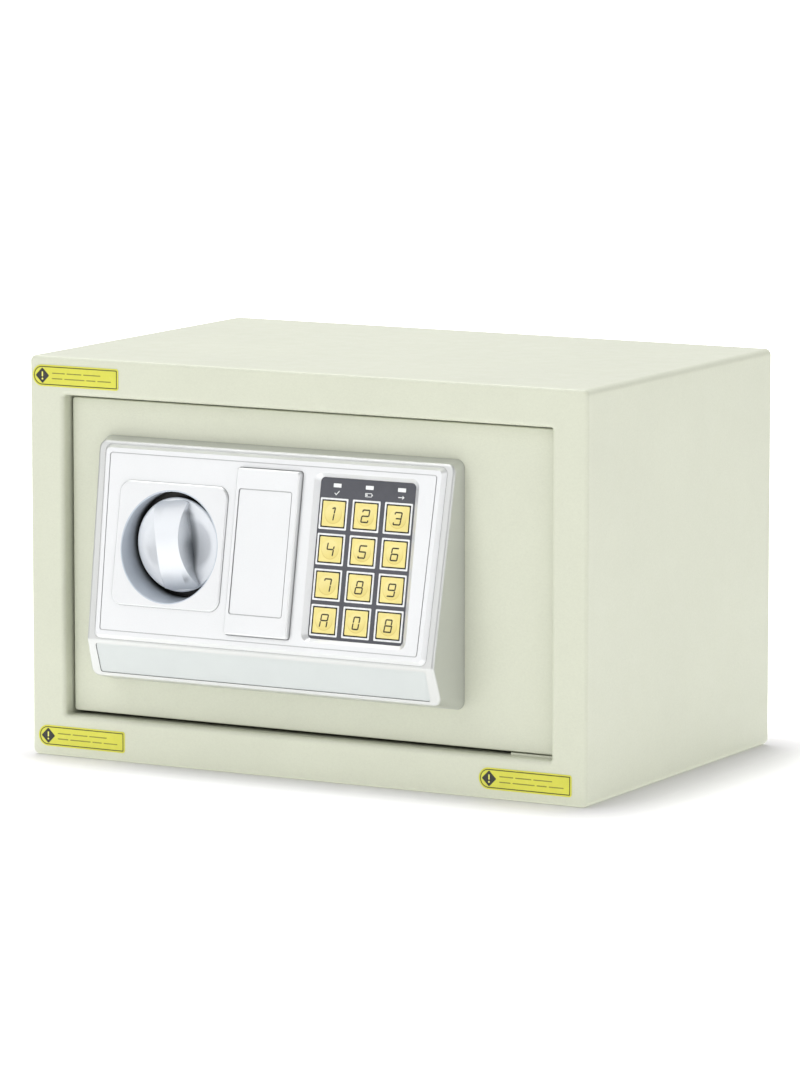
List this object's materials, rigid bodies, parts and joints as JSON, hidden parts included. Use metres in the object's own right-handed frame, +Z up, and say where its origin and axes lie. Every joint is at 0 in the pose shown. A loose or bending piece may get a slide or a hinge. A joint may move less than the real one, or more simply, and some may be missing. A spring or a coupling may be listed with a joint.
{
  "type": "in room safe",
  "caption": "Compact electronic in room safe: steel box with a recessed hinged door, turning knob, covered override lock and gold keypad.",
  "frame": {"origin": "centre of the underside of the steel body", "axes": "+Z up, the door faces -Y, +X to the right seen from the front"},
  "size_m": [0.31, 0.2213, 0.2],
  "materials": {
    "cream_coat": "fine textured cream powder coat",
    "felt": "grey needled felt",
    "zinc_steel": "zinc plated, satin",
    "bolt_steel": "ground and polished",
    "brass": "turned",
    "lock_chrome": "bright nickel",
    "nylon_white": "natural nylon",
    "silver_plastic": "satin silver lacquer on moulded plastic",
    "grey_inlay": "satin light grey",
    "overlay_dark": "printed dark grey overlay",
    "key_gold": "satin gold",
    "led_white": "diffusing lens",
    "board_green": "solder mask",
    "black_plastic": "fine grained black",
    "red_plastic": "red",
    "rubber_black": "black rubber",
    "wire_sleeve": "coloured sleeving",
    "coil_tape": "amber winding tape",
    "cell_jacket": "printed jacket, plain",
    "label_yellow": "satin yellow film"
  },
  "bodies": {
    "body": {"body_shell": "cream_coat", "back_panel": "cream_coat", "floor_mat": "felt", "hinge_brackets": "cream_coat", "hinge_pins": "zinc_steel", "front_labels": "label_yellow"},
    "door": {"door_plate": "cream_coat", "hinge_lugs": "cream_coat", "hinge_bushes": "nylon_white", "control_housing": "silver_plastic", "fascia_plate": "silver_plastic", "chin_inlay": "grey_inlay", "knob_bezel": "silver_plastic", "keypad_overlay": "overlay_dark", "status_leds": "led_white", "keypad_board": "board_green", "key_switches": "black_plastic", "sounder": "black_plastic", "wire_grommet": "rubber_black", "wiring_loom": "wire_sleeve", "housing_screws": "zinc_steel", "shaft_bush": "brass", "lock_body": "lock_chrome", "lock_nut": "zinc_steel", "bolt_guide": "zinc_steel", "door_studs": "zinc_steel", "solenoid_frame": "zinc_steel", "solenoid_coil": "coil_tape", "plunger_spring": "zinc_steel", "inner_cover": "black_plastic", "inner_cover_screws": "zinc_steel", "battery_box": "black_plastic", "battery_cells": "cell_jacket", "battery_contacts": "zinc_steel", "reset_switch": "black_plastic"},
    "knob": {"knob": "silver_plastic", "knob_shaft": "zinc_steel", "shaft_clip": "zinc_steel", "drive_cam": "zinc_steel"},
    "carriage": {"bolt_carriage": "zinc_steel", "locking_bolts": "bolt_steel", "bolt_nuts": "zinc_steel"},
    "plunger": {"solenoid_plunger": "zinc_steel"},
    "cover": {"key_cover": "silver_plastic"},
    "override_lock": {"lock_plug": "brass", "lock_cam": "zinc_steel"},
    "battery_lid": {"battery_door": "black_plastic"},
    "reset": {"reset_button": "red_plastic"},
    "press_key_1": {"key_1": "key_gold"},
    "press_key_2": {"key_2": "key_gold"},
    "press_key_3": {"key_3": "key_gold"},
    "press_key_4": {"key_4": "key_gold"},
    "press_key_5": {"key_5": "key_gold"},
    "press_key_6": {"key_6": "key_gold"},
    "press_key_7": {"key_7": "key_gold"},
    "press_key_8": {"key_8": "key_gold"},
    "press_key_9": {"key_9": "key_gold"},
    "press_key_a": {"key_a": "key_gold"},
    "press_key_0": {"key_0": "key_gold"},
    "press_key_b": {"key_b": "key_gold"}
  },
  "joints": [
    {"name": "door_swing", "type": "hinge", "parent": "body", "child": "door", "pos_m": [0.12, -0.084, 0.1015], "axis": [0, 0, 1], "range_deg": [0, 100]},
    {"name": "knob_turn", "type": "hinge", "parent": "door", "child": "knob", "pos_m": [-0.0679, -0.095, 0.1115], "axis": [0, -1, 0], "range_deg": [0, 90]},
    {"name": "bolt_throw", "type": "slide", "parent": "door", "child": "carriage", "axis": [-1, 0, 0], "range_m": [0, 0.01499]},
    {"name": "plunger_pull", "type": "slide", "parent": "door", "child": "plunger", "axis": [0, 0, -1], "range_m": [0, 0.0035], "deforming": ["plunger_spring"]},
    {"name": "key_cover_pull", "type": "slide", "parent": "door", "child": "cover", "axis": [0, -0.9837, 0.1801], "range_m": [0, 0.02]},
    {"name": "override_turn", "type": "hinge", "parent": "door", "child": "override_lock", "pos_m": [-0.0149, -0.092, 0.088], "axis": [0, -1, 0], "range_deg": [0, 90]},
    {"name": "battery_door_lift", "type": "slide", "parent": "door", "child": "battery_lid", "axis": [0, 1, 0], "range_m": [0, 0.015]},
    {"name": "reset_press", "type": "slide", "parent": "door", "child": "reset", "axis": [0, -1, 0], "range_m": [0, 0.0012]},
    {"name": "key_1_press", "type": "slide", "parent": "door", "child": "press_key_1", "axis": [0, 0.9837, -0.1801], "range_m": [0, 0.0005]},
    {"name": "key_2_press", "type": "slide", "parent": "door", "child": "press_key_2", "axis": [0, 0.9837, -0.1801], "range_m": [0, 0.0005]},
    {"name": "key_3_press", "type": "slide", "parent": "door", "child": "press_key_3", "axis": [0, 0.9837, -0.1801], "range_m": [0, 0.0005]},
    {"name": "key_4_press", "type": "slide", "parent": "door", "child": "press_key_4", "axis": [0, 0.9837, -0.1801], "range_m": [0, 0.0005]},
    {"name": "key_5_press", "type": "slide", "parent": "door", "child": "press_key_5", "axis": [0, 0.9837, -0.1801], "range_m": [0, 0.0005]},
    {"name": "key_6_press", "type": "slide", "parent": "door", "child": "press_key_6", "axis": [0, 0.9837, -0.1801], "range_m": [0, 0.0005]},
    {"name": "key_7_press", "type": "slide", "parent": "door", "child": "press_key_7", "axis": [0, 0.9837, -0.1801], "range_m": [0, 0.0005]},
    {"name": "key_8_press", "type": "slide", "parent": "door", "child": "press_key_8", "axis": [0, 0.9837, -0.1801], "range_m": [0, 0.0005]},
    {"name": "key_9_press", "type": "slide", "parent": "door", "child": "press_key_9", "axis": [0, 0.9837, -0.1801], "range_m": [0, 0.0005]},
    {"name": "key_a_press", "type": "slide", "parent": "door", "child": "press_key_a", "axis": [0, 0.9837, -0.1801], "range_m": [0, 0.0005]},
    {"name": "key_0_press", "type": "slide", "parent": "door", "child": "press_key_0", "axis": [0, 0.9837, -0.1801], "range_m": [0, 0.0005]},
    {"name": "key_b_press", "type": "slide", "parent": "door", "child": "press_key_b", "axis": [0, 0.9837, -0.1801], "range_m": [0, 0.0005]}
  ],
  "couplings": [
    {"joint": "knob_turn", "follows": "bolt_throw", "rad_per_m": 104.78}
  ]
}
